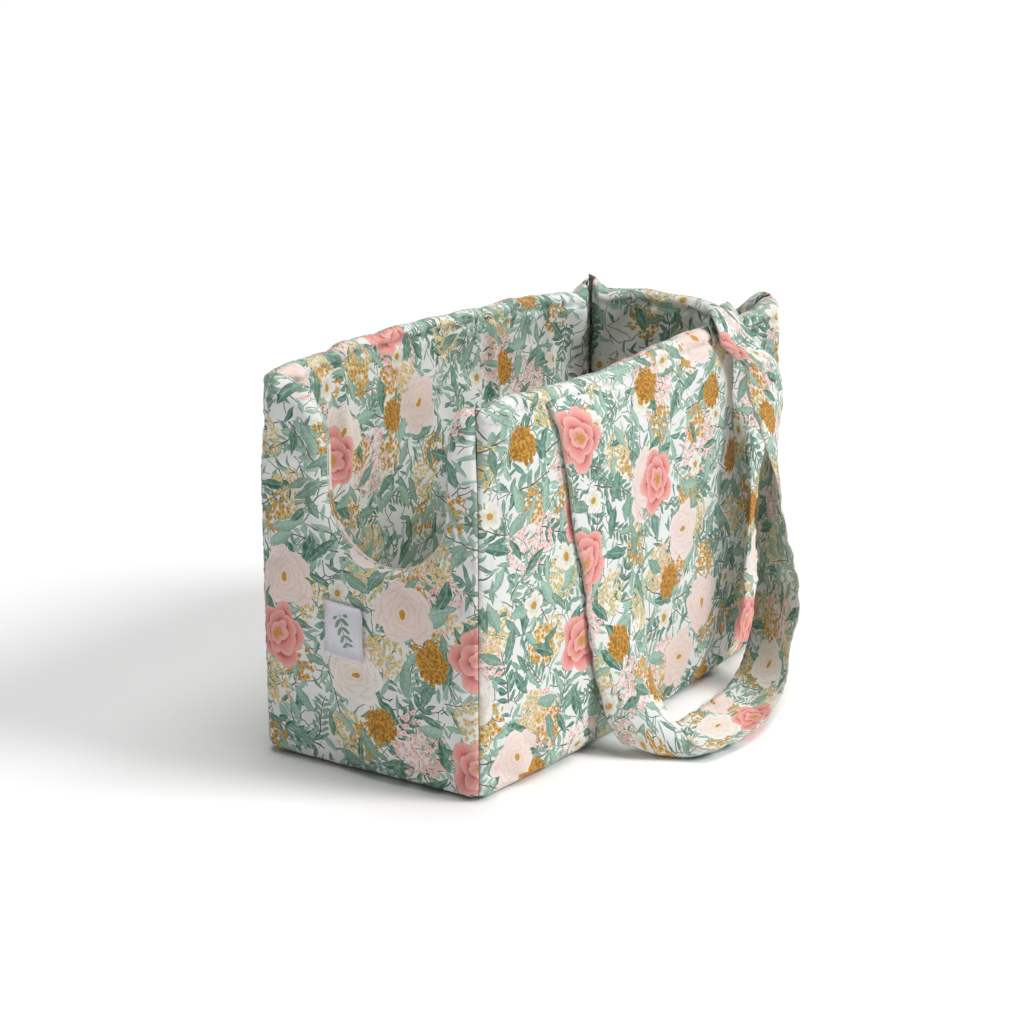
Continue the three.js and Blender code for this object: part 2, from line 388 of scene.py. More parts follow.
def sprig(cloth, place, length, width, pairs):
    """A stem with leaflets in pairs: its mask, and the coordinate across each leaflet."""
    x, y, _ = cloth.split(place)
    reach = y.abs()
    slanted = x - reach * 0.75
    step = 2.0 * length / pairs
    cell = (slanted / step).fraction() - 0.5
    across = cell * step
    taper = (reach / width * 2.0 - 1.0).abs().power(2.0) * -1.0 + 1.0
    inside = across.abs().less(taper.maximum(0.0) * (step * 0.36))
    kept = x.abs().less(length)
    stem = reach.less(0.011) * x.abs().less(length * 1.05)
    return (inside * kept).maximum(stem), across, stem


def printed_cotton(name, topstitched=False):
    """White plain-weave cotton printed with a dense meadow of flowers and leaves."""
    cloth = Cloth(name)
    uv = cloth.coordinates()
    drawn = cloth.warped(uv, 95.0, 0.0042)
    hand = cloth.warped(drawn, 420.0, 0.0009)
    tone = cloth.noise(uv, 260.0, 3.0)
    broad = cloth.noise(uv, 40.0, 2.0)

    colour = cloth.mix(broad.ramp(0.3, 0.7), GROUND, srgb(237, 239, 237))

    def lay(mask, paint):
        nonlocal colour
        colour = cloth.mix(mask, colour, paint)

    def green(chance, across, spread):
        side = (across / spread).ramp(-0.35, 0.35)
        base = cloth.mix(chance.ramp(0.15, 0.85), LEAF_DARK, LEAF_LIGHT)
        base = cloth.mix(side * 0.45, base, LEAF_MID)
        base = cloth.mix(tone.ramp(0.42, 0.66) * 0.42, base, LEAF_LIGHT)
        vein = across.abs().less(spread * 0.07)
        return cloth.mix(vein * 0.5, base, srgb(196, 216, 200))

    # thin twigs that wander and break off
    for size, width, shift in ((0.027, 0.0125, 0.0), (0.018, 0.0160, 0.31)):
        bent = cloth.warped(drawn, 48.0, 0.011)
        line = cloth.cell_edge(cloth.vector("ADD", bent, (shift, shift * 2, 0.0)), size).less(width)
        shown = cloth.noise(cloth.vector("ADD", uv, (shift, 0.0, 0.0)), 62.0, 1.0).more(0.47)
        lay(line * shown, cloth.mix(tone, STEM, LEAF_DARK))

    # small single leaves, thickly strewn
    for size, shift, tilt, keep in (
        (0.0115, 0.31, 0.4, 0.80),
        (0.0140, 0.77, 1.3, 0.72),
        (0.0160, 0.53, 2.2, 0.62),
    ):
        place, chance = cloth.scatter(drawn, size, shift, 0.75, tilt)
        mask, _, y, _ = leaf(cloth, place, 0.48, 0.110)
        lay(mask * chance[1].less(keep), green(chance[2], y, 0.12))

    # sprays of paired leaflets
    for size, shift, tilt, keep, pairs in ((0.034, 0.13, 2.1, 0.78, 6.0), (0.041, 0.57, 0.9, 0.70, 5.0)):
        place, chance = cloth.scatter(drawn, size, shift, 0.55, tilt)
        mask, across, stem = sprig(cloth, place, 0.42, 0.20, pairs)
        show = mask * chance[1].less(keep)
        lay(show, green(chance[2], across, 0.05))
        lay(show * stem, STEM)

    # heads of tiny florets, blush pink and then pale and deep gold
    for size, shift, tilt, keep, dot, ragged, paints in (
        (0.074, 0.19, 0.7, 0.50, 0.0038, 0.27, (PINK, srgb(252, 226, 218), srgb(226, 140, 132))),
        (0.052, 0.43, 1.9, 0.60, 0.0034, 0.27, (GOLD_LIGHT, srgb(236, 218, 164), GOLD)),
        (0.047, 0.91, 0.2, 0.50, 0.0037, 0.25, (GOLD, srgb(226, 178, 84), GOLD_DARK)),
    ):
        place, chance = cloth.scatter(drawn, size, shift, 0.5, tilt)
        x, y, _ = cloth.split(cloth.warped(place, 4.5, 0.42, 2.0))
        inside = (x * x * 0.75 + y * y).power(0.5).less(ragged)
        show = inside * chance[1].less(keep)
        floret, pick = cloth.scatter(hand, dot, shift, 0.7, tilt)
        petals, tone_out, far, _ = bloom(cloth, floret, 4.0, 1, 0.50, 0.42)
        head = cloth.mix(pick[1], paints[0], paints[1])
        head = cloth.mix(far.less(0.13), head, paints[2])
        lay(show * petals * pick[2].less(0.88), head)

    # larger leaves, singly
    for size, shift, tilt, keep, length, width in (
        (0.0215, 0.63, 0.5, 0.60, 0.48, 0.125),
        (0.0270, 0.27, 2.6, 0.46, 0.46, 0.140),
        (0.0245, 0.91, 1.5, 0.34, 0.47, 0.170),
    ):
        place, chance = cloth.scatter(drawn, size, shift, 0.6, tilt)
        mask, x, y, outline = leaf(cloth, place, length, width)
        paint = green(chance[2], y, width)
        ribs = ((x - y.abs() * 0.8) * 42.0).sin().more(0.86)
        paint = cloth.mix(ribs * 0.3, paint, LEAF_DARK)
        rim = y.abs().more(outline - 0.016)
        paint = cloth.mix(rim * 0.55, paint, LEAF_DARK)
        lay(mask * chance[1].less(keep), paint)

    # small white five-petalled flowers
    place, chance = cloth.scatter(hand, 0.039, 0.37, 0.5, 1.1)
    mask, out, far, _ = bloom(cloth, place, 5.0, 1, 0.235, 0.45)
    paint = cloth.mix(out.ramp(0.35, 1.0), srgb(226, 226, 205), srgb(252, 250, 244))
    paint = cloth.mix(out.more(0.92) * 0.6, paint, ROSE_LINE)
    paint = cloth.mix(far.less(0.062), paint, GOLD)
    lay(mask * chance[1].less(0.34), paint)

    # cream and blush roses with fine drawn petals
    place, chance = cloth.scatter(hand, 0.066, 0.71, 0.5, 2.3)
    mask, out, far, angle = bloom(cloth, cloth.warped(place, 3.4, 0.21), 5.0, 5, 0.310, 0.22)
    petal = cloth.mix(chance[2].ramp(0.35, 0.65), ROSE, ROSE_BLUSH)
    paint = cloth.mix(out.ramp(0.0, 0.55, 0.34, 0.0), petal, srgb(226, 190, 170))
    paint = cloth.mix(far.ramp(0.0, 0.30, 0.30, 0.0), paint, srgb(236, 206, 176))
    veins = (angle * 46.0 + far * 30.0).sin().ramp(0.2, 1.0)
    paint = cloth.mix(veins * 0.16, paint, ROSE_LINE)
    paint = cloth.mix(out.more(0.955) * 0.7, paint, ROSE_LINE)
    paint = cloth.mix(far.less(0.042), paint, GOLD)
    lay(mask * chance[1].less(0.30), paint)

    # marigolds
    place, chance = cloth.scatter(hand, 0.058, 0.05, 0.5, 0.95)
    mask, out, far, _ = bloom(cloth, cloth.warped(place, 8.0, 0.13, 2.0), 13.0, 4, 0.215, 0.26)
    paint = cloth.mix(out.ramp(0.0, 0.75), GOLD_DARK, srgb(214, 158, 54))
    paint = cloth.mix(tone.ramp(0.50, 0.58) * 0.6, paint, GOLD_DARK)
    lay(mask * chance[1].less(0.21), paint)

    # coral peonies: broad ruffled petals with fine veins
    place, chance = cloth.scatter(hand, 0.076, 0.83, 0.5, 1.6)
    local = cloth.warped(place, 2.6, 0.19)
    mask, out, far, angle = bloom(cloth, local, 5.0, 3, 0.285, 0.24)
    streak = ((angle * 37.0) + (far * 22.0)).sin().ramp(-0.4, 1.0)
    paint = cloth.mix(out.ramp(0.0, 0.35), CORAL_DARK, CORAL)
    paint = cloth.mix(out.ramp(0.30, 1.05) * 0.85, paint, CORAL_LIGHT)
    paint = cloth.mix(streak * 0.22, paint, srgb(222, 122, 118))
    paint = cloth.mix(out.more(0.95) * 0.35, paint, CORAL_DARK)
    stamen = far.less(cloth.noise(hand, 520.0).ramp(0.3, 0.7, 0.02, 0.07))
    paint = cloth.mix(stamen, paint, GOLD)
    lay(mask * chance[1].less(0.27), paint)

    # yarns, wear along the edges, and the cloth's own tone
    x, y, _ = cloth.split(uv)
    yarn = 2 * math.pi / 0.00042
    weave = (x * yarn).sin() * (y * yarn).sin()
    slub = cloth.noise(cloth.vector("MULTIPLY", uv, (1.0, 0.08, 1.0)), 1500.0, 2.0)
    colour = cloth.mix(weave.ramp(-1.0, 1.0) * 0.05, colour, srgb(180, 178, 172))
    colour = cloth.mix(slub.ramp(0.5, 0.8) * 0.07, colour, srgb(214, 212, 206))
    wear = cloth.attribute("wear")
    rubbed = wear * cloth.noise(uv, 150.0, 3.0).ramp(0.35, 0.7)
    colour = cloth.mix(rubbed * 0.22, colour, srgb(222, 218, 208))
    if topstitched:
        from_middle = (((y / STRAP_UV_PERIOD + 0.5).fraction() - 0.5) * STRAP_UV_PERIOD).abs()
        across = from_middle - (STRAP_WIDTH / 2 - STRAP_EDGE_ROLL)
        thread = across.abs().less(0.00032) * (x / 0.0038).fraction().less(0.72)
        colour = cloth.mix(thread * 0.85, colour, srgb(228, 220, 198))
        # painted shade: the cloth is drawn darker along the sunken line of the topstitching, where shade
        # falls
        stitch_groove_painted_shade = across.abs().ramp(0.0, 0.0014, 1.0, 0.0)
        colour = cloth.mix(stitch_groove_painted_shade * 0.16, colour, srgb(120, 128, 116))
    cloth.shader.inputs["Sheen Weight"].default_value = 0.12
    cloth.shader.inputs["Sheen Roughness"].default_value = 0.5
    cloth.shader.inputs["Specular IOR Level"].default_value = 0.25
    crinkle = cloth.noise(cloth.warped(uv, 60.0, 0.006), 120.0, 3.0)
    under = cloth.bump(crinkle, 0.0016, 0.45)
    rough = broad.ramp(0.2, 0.8, 0.80, 0.92) + wear * 0.04
    return cloth.finish(colour, rough, cloth.bump(weave + slub, 0.00008, 0.6, under))


def thread_material():
    cloth = Cloth("sewing_thread")
    uv = cloth.coordinates()
    x, y, _ = cloth.split(uv)
    twist = ((x + y * 0.6) * (2 * math.pi / 0.0007)).sin()
    # painted shade and highlight: the thread is drawn darker in the grooves of its twist and lighter on its
    # ridges, following the same field as its bump
    paint = cloth.mix(twist.ramp(-1.0, 1.0), srgb(214, 206, 184), srgb(244, 238, 222))
    paint = cloth.mix(cloth.noise(uv, 300.0) * 0.3, paint, srgb(226, 214, 184))
    rough = cloth.noise(uv, 200.0).ramp(0.3, 0.7, 0.5, 0.68)
    return cloth.finish(paint, rough, cloth.bump(twist, 0.00012, 0.8))


def batting_material():
    cloth = Cloth("polyester_batting")
    uv = cloth.coordinates()
    fibre = cloth.noise(cloth.warped(uv, 220.0, 0.004), 900.0, 5.0, roughness=0.7)
    paint = cloth.mix(fibre, srgb(226, 225, 220), srgb(250, 250, 248))
    return cloth.finish(paint, fibre.ramp(0.3, 0.7, 0.88, 1.0), cloth.bump(fibre, 0.001, 0.7))


def satin_material(name, light, dark):
    """Woven label satin with one leafy sprig, and no lettering."""
    cloth = Cloth(name)
    uv = cloth.coordinates()
    x, y, _ = cloth.split(uv)
    warp = (x * (2 * math.pi / 0.00045)).sin()
    weft = (y * (2 * math.pi / 0.0009)).sin()
    cloud = cloth.noise(uv, 160.0, 2.0)
    paint = cloth.mix((warp * weft).ramp(-1.0, 1.0) * 0.35, light, dark)
    paint = cloth.mix(cloud.ramp(0.4, 0.7) * 0.25, paint, dark)
    hem = x.abs().more(LABEL_WIDTH / 2 - 0.0012)
    paint = cloth.mix(hem * 0.35, paint, srgb(196, 192, 196))
    place = cloth.turn(cloth.vector("SCALE", cloth.warped(uv, 300.0, 0.0007), scale=42.0), 1.25)
    mask, across, stem = sprig(cloth, place, 0.44, 0.24, 4.0)
    ink = cloth.mix(across.abs().ramp(0.0, 0.08), srgb(92, 128, 104), srgb(126, 160, 136))
    paint = cloth.mix(mask * 0.9, paint, cloth.mix(stem, ink, srgb(104, 96, 76)))
    cloth.shader.inputs["Sheen Weight"].default_value = 0.2
    return cloth.finish(paint, cloud.ramp(0.3, 0.7, 0.42, 0.58), cloth.bump(warp + weft, 0.00007, 0.7))


OUTER_COTTON = printed_cotton("print_cotton_outer")
STRAP_COTTON = printed_cotton("print_cotton_strap", topstitched=True)
THREAD = thread_material()
BATTING = batting_material()
SATIN = satin_material("label_satin", srgb(240, 238, 246), srgb(216, 214, 224))


# ---------------------------------------------------------------- mesh making
def make_object(name, points, faces, uv, material, replaces=(), wear=None):
    """A smooth-shaded piece with its fabric coordinates, in metres of cloth."""
    mesh = bpy.data.meshes.new(name)
    mesh.from_pydata([tuple(map(float, p)) for p in points], [], [tuple(map(int, f)) for f in faces])
    layer = mesh.uv_layers.new(name="fabric")
    corner = np.zeros(len(mesh.loops), dtype=np.int32)
    mesh.loops.foreach_get("vertex_index", corner)
    layer.data.foreach_set("uv", np.asarray(uv, dtype=np.float32)[corner].ravel())
    shade = mesh.attributes.new("wear", "FLOAT", "POINT")
    if wear is not None:
        shade.data.foreach_set("value", wear.astype(np.float32))
    mesh.polygons.foreach_set("use_smooth", np.ones(len(mesh.polygons), dtype=bool))
    mesh.materials.append(material)
    mesh.validate()
    mesh.update()
    piece = bpy.data.objects.new(name, mesh)
    bpy.context.scene.collection.objects.link(piece)
    if replaces:
        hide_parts(*replaces)
    return piece


def apply_modifiers(piece):
    graph = bpy.context.evaluated_depsgraph_get()
    mesh = bpy.data.meshes.new_from_object(piece.evaluated_get(graph), depsgraph=graph)
    piece.modifiers.clear()
    old, piece.data = piece.data, mesh
    bpy.data.meshes.remove(old)
    return piece


def thicken(piece, thickness=CLOTH):
    """Gives a cloth surface its thickness, towards its back."""
    solid = piece.modifiers.new("thick", "SOLIDIFY")
    solid.thickness = thickness
    solid.offset = -1.0
    solid.use_rim = True
    return apply_modifiers(piece)


def thin_out(points, nearest):
    """Drops points nearer than this to an earlier one."""
    kept, cells = [], {}
    for p in points:
        key = (int(p[0] // nearest), int(p[1] // nearest))
        close = False
        for i in (-1, 0, 1):
            for j in (-1, 0, 1):
                for q in cells.get((key[0] + i, key[1] + j), ()):
                    if (p[0] - q[0]) ** 2 + (p[1] - q[1]) ** 2 < nearest * nearest:
                        close = True
        if not close:
            cells.setdefault(key, []).append(p)
            kept.append(p)
    return kept


def spaced(line, step):
    """Points along a polyline, evenly spaced."""
    line = np.asarray(line, float)
    length = lengths_along(line)
    count = max(2, int(round(length[-1] / step)) + 1)
    return along_line(np.linspace(0, length[-1], count), length, line)


def distance_to(points, line):
    """Distance from each point to a polyline, and the direction away from it."""
    points, line = np.asarray(points, float), np.asarray(line, float)
    a, d = line[:-1], np.diff(line, axis=0)
    share = ((points[:, None] - a) * d).sum(-1) / np.maximum((d * d).sum(-1), 1e-12)
    foot = a + np.clip(share, 0, 1)[..., None] * d
    gap = np.linalg.norm(points[:, None] - foot, axis=-1)
    best = gap.argmin(1)
    rows = np.arange(len(points))
    away = points - foot[rows, best]
    size = gap[rows, best]
    return size, away / np.maximum(size, 1e-9)[:, None]


def triangulated(outline, inner):
    """Triangles that fill an outline and use all the inner points: points and faces."""
    border = [Vector(p) for p in outline]
    inside = [Vector(p) for p in inner]
    edges = [(i, (i + 1) % len(border)) for i in range(len(border))]
    points, _, faces, *_ = delaunay_2d_cdt(border + inside, edges, [], 1, 1e-7)
    return np.array([tuple(p) for p in points]), [tuple(f) for f in faces]


# ---------------------------------------------------------------- the walls
def notch_line():
    """The notch's edge from its +a side round to its -a side, with rounded top corners."""
    arc_z = NOTCH_FLOOR + NOTCH_HALF
    line = []
    for side in (1, -1):
        top = NOTCH_MIDDLE + side * (NOTCH_HALF + NOTCH_FLARE[side])
        mid = NOTCH_MIDDLE + side * (NOTCH_HALF + NOTCH_FLARE[side] / 3)
        edge = [(NOTCH_MIDDLE + side * NOTCH_HALF, NOTCH_FLARE_Z), (mid, (RIM_Z + NOTCH_FLARE_Z) / 2)]
        turn = [
            (top + side * NOTCH_TOP_ROUND * (1 - math.cos(t)), RIM_Z - NOTCH_TOP_ROUND * (1 - math.sin(t)))
            for t in np.linspace(0, math.pi / 2, 6)
        ]
        half = edge + turn
        line = half[::-1] if side == 1 else line + arc_points(arc_z) + half
    return line


def arc_points(arc_z):
    angles = -np.linspace(0, math.pi, 24)
    return [(NOTCH_MIDDLE + NOTCH_HALF * math.cos(t), arc_z + NOTCH_HALF * math.sin(t)) for t in angles]


class Wall:
    """One padded wall: places on it, and the shapes that its outside and lining take."""

    def __init__(self, name, place, half, lift, notched=False, seed=1):
        self.name, self.place, self.half, self.lift = name, place, half, lift
        self.notched, self.seed = notched, seed
        top = []
        for a in np.linspace(-half, half, 90):
            if notched and self.gap(a):
                continue
            top.append((a, RIM_Z))
        if notched:
            notch = notch_line()[::-1]
            left = [p for p in top if p[0] < notch[0][0]]
            right = [p for p in top if p[0] > notch[-1][0]]
            top = left + notch + right
        self.top = spaced([(a, z + float(self.rim_lift(a, z))) for a, z in top], 0.0032)

    def gap(self, a):
        return NOTCH_MIDDLE - NOTCH_HALF - 0.02 < a < NOTCH_MIDDLE + NOTCH_HALF + 0.028

    def rim_lift(self, a, z):
        """How far the rim stands off level here, with a dip at the seam itself."""
        from_end = self.half - np.abs(a)
        dip = -0.0064 * np.exp(-((from_end / 0.0052) ** 2))
        wave = 0.0005 * np.sin(np.asarray(a) * 151.0 + self.seed)
        return (self.lift(a) + dip + wave) * smooth((np.asarray(z) - 0.15) / 0.08)

    def limits(self, rim_in, foot_in, z):
        """Half the wall's length where its cloth has turned this far in."""
        return self.half - seam_inset(z) * (1 - rim_in / RIM_RADIUS) - rim_in - foot_in

    def outline(self, lining):
        """The wall's flat outline in (a, z), from the bottom left corner round."""
        r = RIM_RADIUS
        left, right = [], []
        for side, line in ((1, right), (-1, left)):
            rim = RIM_Z + float(self.rim_lift(side * (self.half - r), RIM_Z))
            if lining:
                seam = self.half - WALL + LINING_TUCK
                for z in np.linspace(LINING_FOOT_Z, rim - r, 50):
                    line.append((side * seam, z))
                for t in np.linspace(0.2, 1.0, 6) * math.pi / 2:
                    turned = (r - LINING_TUCK) * (1 - math.cos(t))
                    line.append((side * (seam + turned), rim - r + r * math.sin(t)))
            else:
                for z in np.linspace(BASE_SEAM_Z, BASE_ROLL_HEIGHT, 6):
                    line.append((side * self.limits(0.0, self.foot_in(z), z), z))
                for z in np.linspace(BASE_ROLL_HEIGHT, rim - r, 52)[1:]:
                    line.append((side * self.limits(0.0, 0.0, z), z))
                for t in np.linspace(0.2, 1.0, 6) * math.pi / 2:
                    d = r * (1 - math.sin(t))
                    turned = float(quarter(np.array(d), r))
                    line.append((side * self.limits(turned, 0.0, rim - d), rim - d))
        top = [tuple(p) for p in self.top if abs(p[0]) < min(right[-1][0], -left[-1][0]) - 0.002]
        foot = spaced([left[0], right[0]], MESH_STEP)[1:-1]
        return [tuple(p) for p in foot] + right + top[::-1] + left[::-1]

    def foot_in(self, z):
        d = np.asarray(z, float) - BASE_SEAM_Z
        return BASE_ROLL * rounding(d / (BASE_ROLL_HEIGHT - BASE_SEAM_Z))

    def points(self, lining):
        """Points that fill the outline, closer together where the cloth turns."""
        outline = self.outline(lining)
        poly = np.array(outline)
        r = RIM_RADIUS
        fill = []
        fine = self.top
        normal = side_normals(fine)
        for t in np.linspace(0, math.pi / 2, 7)[:-1][::-1]:
            d = r * (1 - math.sin(t))
            ring = fine + normal * max(d, 0.0002)
            if d > 0.0003:
                real, _ = distance_to(ring, fine)
                fill += [tuple(p) for p, g in zip(ring, real) if g > 0.985 * d]
        low, high = poly.min(0), poly.max(0)
        for z in np.arange(low[1] + 0.0008, high[1], MESH_STEP * 0.95):
            for inset in (0.0009, 0.0022, 0.0042, 0.0068, 0.0100):
                for side in (-1, 1):
                    fill.append((side * (high[0] - inset), z))
        if not lining:
            for z in (0.0018, 0.0028, 0.0044, 0.0066, 0.0096):
                for a in np.arange(low[0], high[0], MESH_STEP):
                    fill.append((a, z))
        for drop in (0.0062, 0.0078, 0.0090, 0.0102, 0.0118):
            for a in np.arange(low[0], high[0], MESH_STEP * 0.8):
                fill.append((a, RIM_Z - drop + float(self.rim_lift(a, RIM_Z))))
        row = 0
        for z in np.arange(low[1], high[1], MESH_STEP * 0.866):
            for a in np.arange(low[0] + (row % 2) * MESH_STEP / 2, high[0], MESH_STEP):
                fill.append((a, z))
            row += 1
        candidates = np.array(fill)
        inside = self.inside(candidates, poly)
        gap, _ = distance_to(candidates, closed(poly))
        candidates = candidates[inside & (gap > 0.0007)]
        return outline, thin_out([tuple(p) for p in candidates], 0.00105)

    @staticmethod
    def inside(points, poly):
        x, y = points[:, 0], points[:, 1]
        found = np.zeros(len(points), bool)
        for (x0, y0), (x1, y1) in zip(poly, np.roll(poly, -1, axis=0)):
            crosses = (y0 > y) != (y1 > y)
            at = (x1 - x0) * (y - y0) / (y1 - y0 + 1e-15) + x0
            found ^= crosses & (x < at)
        return found

    def cloth(self, lining):
        """The outside or the lining: points, faces, fabric coordinates and wear."""
        outline, fill = self.points(lining)
        flat, faces = triangulated(outline, fill)
        a, z = flat[:, 0], flat[:, 1]
        r = RIM_RADIUS
        before, after = (-self.half - 0.05, self.top[0][1]), (self.half + 0.05, self.top[-1][1])
        top = np.vstack([[before], self.top, [after]])
        d_top, away = distance_to(flat, top)
        rim_in = quarter(d_top, r)
        roll = np.where(d_top < r, r * np.arcsin(np.clip(1 - d_top / r, 0, 1)) - (r - d_top), 0.0)
        uv = flat - away * roll[:, None]
        pinch = 0.0006 * np.exp(-((d_top / 0.0010) ** 2))
        if lining:
            end = self.half - WALL + LINING_TUCK + (r - LINING_TUCK) * np.clip(rim_in / r, 0, 1)
            from_seam = end - np.abs(a)
            inward = WALL - rim_in
            inward -= LINING_TUCK * np.exp(-((from_seam / 0.004) ** 2)) * (1 - rim_in / r)
            inward -= 0.0016 * np.exp(-(((z - LINING_FOOT_Z) / 0.006) ** 2))
            sign = 1.0
        else:
            foot_in = self.foot_in(z)
            from_seam = self.limits(rim_in, foot_in, z) - np.abs(a)
            lobe = seam_inset(z) * rounding(from_seam / CORNER_LOBE)
            inward = rim_in + foot_in + lobe * (1 - rim_in / r)
            sign = -1.0
        seam_far = np.minimum(from_seam, z - (LINING_FOOT_Z if lining else BASE_SEAM_Z))
        free = smooth(np.minimum(seam_far / 0.016, d_top / 0.008))
        along = a / self.half
        height = np.clip(z / RIM_Z, 0, 1)
        crown = (1 - along**4) * np.sin(np.clip(height, 0, 1) * math.pi) ** 0.7 * 0.0022
        soft = 0.0011 * ripple(flat, 0.085, self.seed * 7 + 1)
        soft += 0.0005 * ripple(flat, 0.030, self.seed * 7 + 2)
        near_seam = np.exp(-np.clip(from_seam, 0, 1) / 0.007) * smooth(from_seam / 0.002)
        puckers = 0.00055 * near_seam * ripple(np.stack([a * 0.15, z], 1), 0.0105, self.seed * 7 + 3)
        sewn = 0.0 if self.notched else 1.0
        line = sewn * hill(d_top, STITCH_LINE_DROP, 0.0019)
        pulls = 0.75 + 0.25 * ripple(np.stack([a, z * 0.1], 1), 0.008, self.seed * 7 + 4)
        gathers = sewn * 0.00045 * hill(d_top, STITCH_LINE_DROP + 0.004, 0.006)
        gathers = gathers * ripple(np.stack([a, z * 0.2], 1), 0.009, self.seed * 7 + 5)
        puff = 0.0042 * hill(from_seam, 0.0140, 0.0090) * smooth((z - CORNER_PUFF_FROM_Z) / CORNER_PUFF_RISE)
        puff = puff * smooth(d_top / 0.006)
        outward = (crown + soft + puff) * free + puckers + gathers - 0.0014 * line * pulls
        outward -= pinch
        inward = inward + sign * outward
        placed = self.place(a, inward, z)
        bulk = np.exp(-((d_top / 0.006) ** 2)) + np.exp(-np.clip(from_seam, 0, 1) / 0.004)
        fixed = np.exp(-((np.clip(seam_far, 0, 1) / 0.0022) ** 2)) + np.exp(-((d_top / 0.0030) ** 2))
        fixed += 0.55 * line + (0.9 * np.exp(-((d_top / 0.009) ** 2)) if self.notched else 0.0)
        return placed, faces, uv, np.clip(bulk, 0, 1), np.clip(fixed, 0, 1)


def side_place(sign):
    def place(a, inward, z):
        return np.stack([a, sign * (half_width(a) - inward), z], axis=1)

    return place


def end_place(sign):
    def place(a, inward, z):
        return np.stack([sign * (HALF_LENGTH - inward), a, z], axis=1)

    return place


def leaning(place, lean):
    """The same wall, leaning in or out by lean(a, z)."""
    return lambda a, inward, z: place(a, inward + lean(a, z), z)


DENT_X = 0.119


def left_lean(a, z):
    """The near wall pulls in under its rear strap end, sharply at the front of the dent."""
    a = np.asarray(a)
    width = np.where(a < DENT_X, 0.0125, 0.040)
    dent = 0.0172 * np.exp(-np.abs((a - DENT_X) / width) ** 2.4)
    return dent * smooth((np.asarray(z) - 0.105) / 0.12)


def right_lean(a, z):
    """Upright creases in the far wall, each beside a strap end."""
    creases = (
        (-0.125, 0.0036, 0.0055), (0.061, 0.0028, 0.0045), (-0.068, 0.0014, 0.006), (0.132, 0.0016, 0.006),
    )
    pressed = sum(depth * hill(np.asarray(a), at, wide) for at, depth, wide in creases)
    return pressed * smooth((np.asarray(z) - 0.06) / 0.12)


def back_lean(a, z):
    """The back wall sags where its rim is low."""
    return 0.0040 * hill(np.asarray(a), -0.046, 0.016) * smooth((np.asarray(z) - 0.14) / 0.1)


# Millimetres along each wall, and how far its rim stands above 245 mm there
RIM_LINES = {
    "left_side": (
        (-200, 1), (-192, 3), (-184, 0.5), (-175, 4), (-150, 4), (-121, 3), (-66, 2), (-18, 5.5), (22, 7.5),
        (66, 8), (94, 6), (118, 0), (150, 0), (172, 3), (186, 10), (200, 9),
    ),
    "right_side": (
        (-200, 2), (-190, 5), (-156, 7), (-127, 6), (-114, 7), (-106, 11), (-98, 8), (-38, 8), (23, 6),
        (84, 4), (96, 6.5), (107, 4), (145, 2), (178, -2.5), (188, 5), (196, 10), (200, 9),
    ),
    "front": ((-84, 1), (-76, 3.5), (-64, 1.5), (40, 1), (58, 2), (72, 5.5), (80, 4.5), (84, 2)),
    "back": (
        (-84, 9), (-77, 11.5), (-67, 11), (-58, 3), (-50, -5), (-42, -4), (-30, -1), (-8, 1.5), (23, 3),
        (49, 2), (62, 0), (70, 6), (77, 12), (84, 9),
    ),
}

WALL_PLACES = {
    "left_side": (leaning(side_place(-1), left_lean), HALF_LENGTH),
    "right_side": (leaning(side_place(1), right_lean), HALF_LENGTH),
    "front": (end_place(-1), HALF_WIDTH),
    "back": (leaning(end_place(1), back_lean), HALF_WIDTH),
}
WALLS = [
    Wall(name, place, half, soft_line(RIM_LINES[name]), notched=name == "front", seed=seed)
    for seed, (name, (place, half)) in enumerate(WALL_PLACES.items(), start=1)
]

pieces = {}
UV_SHIFT = {
    "left_side": (0.31, 0.12), "right_side": (1.27, 0.55), "front": (2.14, 0.83), "back": (3.05, 1.42),
}


def oriented(points, faces, outward_hint):
    """Faces wound so that they look along the hint."""
    points = np.asarray(points)
    f = np.array([face[:3] for face in faces])
    normal = np.cross(points[f[:, 1]] - points[f[:, 0]], points[f[:, 2]] - points[f[:, 0]]).sum(0)
    if normal @ np.asarray(outward_hint) > 0:
        return faces
    return [tuple(reversed(face)) for face in faces]


OUTWARD = {"left_side": (0, -1, 0), "right_side": (0, 1, 0), "front": (-1, 0, 0), "back": (1, 0, 0)}


